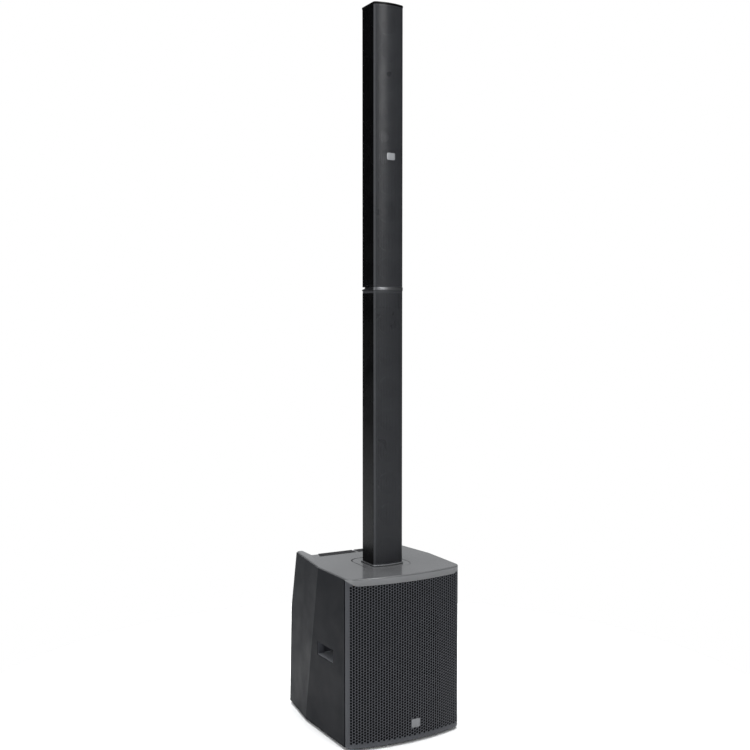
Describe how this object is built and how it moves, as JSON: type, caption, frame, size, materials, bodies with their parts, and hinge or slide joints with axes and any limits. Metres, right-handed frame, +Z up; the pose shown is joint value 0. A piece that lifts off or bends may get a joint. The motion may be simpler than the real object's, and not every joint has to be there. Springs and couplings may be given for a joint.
{
  "type": "column PA system",
  "caption": "Portable column PA system: a bowed subwoofer cabinet with rear controls and two plug-in column speaker sections stacked on its top.",
  "frame": {"origin": "on the floor, under the middle of the cabinet", "axes": "+Z up along the column, +X to the right seen from the front, front faces -Y"},
  "size_m": [0.3784, 0.4589, 2.072],
  "materials": {
    "housing_paint": "satin",
    "cabinet_paint": "matte",
    "bare_board": "matte",
    "top_plastic": "satin",
    "dark_plastic": "matte",
    "grille_paint": "satin",
    "black_foam": "matte",
    "rubber": "matte",
    "badge_metal": "satin",
    "bright_aluminium": "satin",
    "steel": "satin",
    "cone_paper": "matte",
    "circuit_board": "gloss",
    "brass": "polished",
    "red_plastic": "gloss",
    "lights": "gloss"
  },
  "bodies": {
    "cabinet": {"side_panel_left": "cabinet_paint", "side_panel_right": "cabinet_paint", "bottom_panel": "cabinet_paint", "rear_panel": "cabinet_paint", "top_board": "bare_board", "front_baffle": "cabinet_paint", "bay_shelf": "bare_board", "bay_wall": "bare_board", "top_cover": "top_plastic", "handle_well": "dark_plastic", "grip_pads": "rubber", "wing_liners": "dark_plastic", "column_socket": "top_plastic", "socket_contacts": "brass", "sub_grille": "grille_paint", "grille_foam": "black_foam", "sub_badge": "badge_metal", "woofer_frame": "housing_paint", "woofer_magnet": "steel", "woofer_suspension": "rubber", "port_tubes": "dark_plastic", "control_panel": "housing_paint", "connector_plate": "housing_paint", "mixer_board": "circuit_board", "amplifier_board": "circuit_board", "power_supply": "circuit_board", "heat_sink": "bright_aluminium", "mains_inlet": "dark_plastic", "signal_sockets": "dark_plastic", "status_lights": "lights", "side_handles": "cabinet_paint", "rubber_feet": "rubber", "screws": "steel"},
    "woofer_cone": {"woofer_cone": "cone_paper"},
    "mains_rocker": {"mains_rocker": "red_plastic"},
    "knob_channel_1": {"knob_channel_1": "dark_plastic"},
    "knob_channel_2": {"knob_channel_2": "dark_plastic"},
    "knob_line": {"knob_line": "dark_plastic"},
    "knob_bass": {"knob_bass": "dark_plastic"},
    "knob_main": {"knob_main": "dark_plastic"},
    "button_voice": {"button_voice": "dark_plastic"},
    "button_pairing": {"button_pairing": "dark_plastic"},
    "lower_column": {"lower_profile": "housing_paint", "lower_baffle": "dark_plastic", "lower_grille": "grille_paint", "lower_foot": "housing_paint", "lower_head": "bright_aluminium", "head_contacts": "brass", "lower_driver_frames": "dark_plastic"},
    "lower_cones": {"lower_driver_cones": "cone_paper"},
    "upper_column": {"upper_profile": "housing_paint", "upper_baffle": "dark_plastic", "upper_grille": "grille_paint", "upper_foot": "housing_paint", "upper_cap": "housing_paint", "upper_driver_frames": "dark_plastic", "tweeter_waveguide": "dark_plastic", "tweeters": "steel", "column_badge": "badge_metal"},
    "upper_cones": {"upper_driver_cones": "cone_paper"}
  },
  "joints": [
    {"name": "lower_column_lift", "type": "slide", "parent": "cabinet", "child": "lower_column", "axis": [0, 0, 1], "range_m": [0, 0.06]},
    {"name": "upper_column_lift", "type": "slide", "parent": "lower_column", "child": "upper_column", "axis": [0, 0, 1], "range_m": [0, 0.06]},
    {"name": "woofer_travel", "type": "slide", "parent": "cabinet", "child": "woofer_cone", "axis": [0, -1, 0], "range_m": [-0.007, 0.007], "stiffness_N_per_m": 2500},
    {"name": "lower_cones_travel", "type": "slide", "parent": "lower_column", "child": "lower_cones", "axis": [0, -1, 0], "range_m": [-0.0015, 0.0015], "stiffness_N_per_m": 4000},
    {"name": "upper_cones_travel", "type": "slide", "parent": "upper_column", "child": "upper_cones", "axis": [0, -1, 0], "range_m": [-0.0015, 0.0015], "stiffness_N_per_m": 4000},
    {"name": "mains_switch", "type": "hinge", "parent": "cabinet", "child": "mains_rocker", "pos_m": [-0.032, 0.212, 0.182], "axis": [1, 0, 0], "range_deg": [-18, 0]},
    {"name": "knob_channel_1_turn", "type": "hinge", "parent": "cabinet", "child": "knob_channel_1", "pos_m": [-0.104, 0.16552, 0.37746], "axis": [0, 0.8746, 0.4848], "range_deg": [-150, 150]},
    {"name": "knob_channel_2_turn", "type": "hinge", "parent": "cabinet", "child": "knob_channel_2", "pos_m": [-0.052, 0.16552, 0.37746], "axis": [0, 0.8746, 0.4848], "range_deg": [-150, 150]},
    {"name": "knob_line_turn", "type": "hinge", "parent": "cabinet", "child": "knob_line", "pos_m": [0, 0.16552, 0.37746], "axis": [0, 0.8746, 0.4848], "range_deg": [-150, 150]},
    {"name": "knob_bass_turn", "type": "hinge", "parent": "cabinet", "child": "knob_bass", "pos_m": [0.052, 0.16552, 0.37746], "axis": [0, 0.8746, 0.4848], "range_deg": [-150, 150]},
    {"name": "knob_main_turn", "type": "hinge", "parent": "cabinet", "child": "knob_main", "pos_m": [0.104, 0.16552, 0.37746], "axis": [0, 0.8746, 0.4848], "range_deg": [-150, 150]},
    {"name": "button_voice_press", "type": "slide", "parent": "cabinet", "child": "button_voice", "axis": [0, -0.8746, -0.4848], "range_m": [0, 0.0015], "stiffness_N_per_m": 400},
    {"name": "button_pairing_press", "type": "slide", "parent": "cabinet", "child": "button_pairing", "axis": [0, -0.8746, -0.4848], "range_m": [0, 0.0015], "stiffness_N_per_m": 400}
  ]
}
